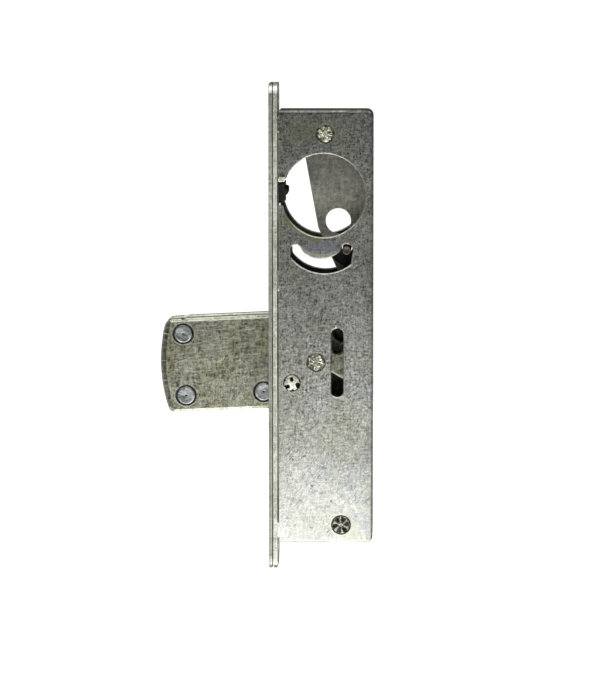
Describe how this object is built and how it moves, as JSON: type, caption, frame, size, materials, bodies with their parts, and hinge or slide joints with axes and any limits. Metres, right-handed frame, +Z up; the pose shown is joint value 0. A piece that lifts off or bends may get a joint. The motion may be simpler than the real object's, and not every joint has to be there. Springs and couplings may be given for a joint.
{
  "type": "mortise lock",
  "caption": "Narrow-stile mortise deadlock: tall flat case behind a long faceplate, with a laminated bolt that swings out of its slot.",
  "frame": {"origin": "front surface of the faceplate, level with the cylinder hole's axis and midway through the lock's thickness", "axes": "+X from the faceplate into the door, +Y across the door's thickness away from the capped side, +Z up the door's edge"},
  "size_m": [0.0762, 0.0262, 0.1746],
  "materials": {
    "faceplate": "zinc plated steel, worn bright at the edges",
    "mounting_plate": "zinc plated steel, dull",
    "zinc_case": "galvanised sheet, speckled and scratched",
    "lever_steel": "plated sheet steel, matt",
    "bolt_steel": "greenish passivated steel with scratches",
    "hardened_steel": "dark hardened rod",
    "black_oxide": "black oxide, satin",
    "rivet_steel": "blue-grey plated rivet",
    "post_steel": "bright staked steel",
    "spring_wire": "drawn spring wire",
    "oiled_steel": "oiled plain steel"
  },
  "bodies": {
    "case": {"bolt_guide": "oiled_steel", "bolt_post": "post_steel", "bolt_washer_far": "oiled_steel", "bolt_washer_near": "oiled_steel", "case_body": "zinc_case", "case_cap": "zinc_case", "clamp_block_far": "black_oxide", "clamp_block_near": "black_oxide", "faceplate": "faceplate", "guide_rivet": "post_steel", "lever_post": "post_steel", "lever_spacer_far": "oiled_steel", "lever_spacer_near": "oiled_steel", "lower_post": "post_steel", "mounting_plate": "mounting_plate", "trim_screw_bottom": "oiled_steel", "trim_screw_top": "oiled_steel"},
    "bolt": {"bolt_core": "bolt_steel", "bolt_plate_far": "bolt_steel", "bolt_plate_near": "bolt_steel", "bolt_rivet_heel": "rivet_steel", "bolt_rivet_inner": "rivet_steel", "bolt_rivet_lower": "rivet_steel", "bolt_rivet_upper": "rivet_steel", "hardened_insert_lower": "hardened_steel", "hardened_insert_upper": "hardened_steel"},
    "lever": {"drive_pin": "oiled_steel", "operating_lever": "lever_steel", "pin_spring": "spring_wire"},
    "pin": {"locking_pin": "oiled_steel", "pin_collar_near": "black_oxide", "pin_collar_far": "black_oxide"},
    "clamp_near": {"clamp_screw_near": "black_oxide"},
    "clamp_far": {"clamp_screw_far": "black_oxide"}
  },
  "joints": [
    {"name": "bolt_swing", "type": "hinge", "parent": "case", "child": "bolt", "pos_m": [0.017, 0, -0.0596], "axis": [0, -1, 0], "range_deg": [0, 87.3], "deforming": ["pin_spring"]},
    {"name": "lever_swing", "type": "hinge", "parent": "case", "child": "lever", "pos_m": [0.0202, 0, 0.0219], "axis": [0, -1, 0], "range_deg": [-24.7, 0]},
    {"name": "pin_travel", "type": "hinge", "parent": "case", "child": "pin", "pos_m": [0.0188, 0, -0.0151], "axis": [0, -1, 0], "range_deg": [-128.1, 0]},
    {"name": "clamp_near_travel", "type": "slide", "parent": "case", "child": "clamp_near", "axis": [-1, 0, 0], "range_m": [0, 0.0019]},
    {"name": "clamp_far_travel", "type": "slide", "parent": "case", "child": "clamp_far", "axis": [-1, 0, 0], "range_m": [0, 0.0019]}
  ],
  "couplings": [
    {"joint": "lever_swing", "follows": "bolt_swing", "ratio": -0.28179},
    {"joint": "pin_travel", "follows": "bolt_swing", "ratio": -1.4662}
  ]
}
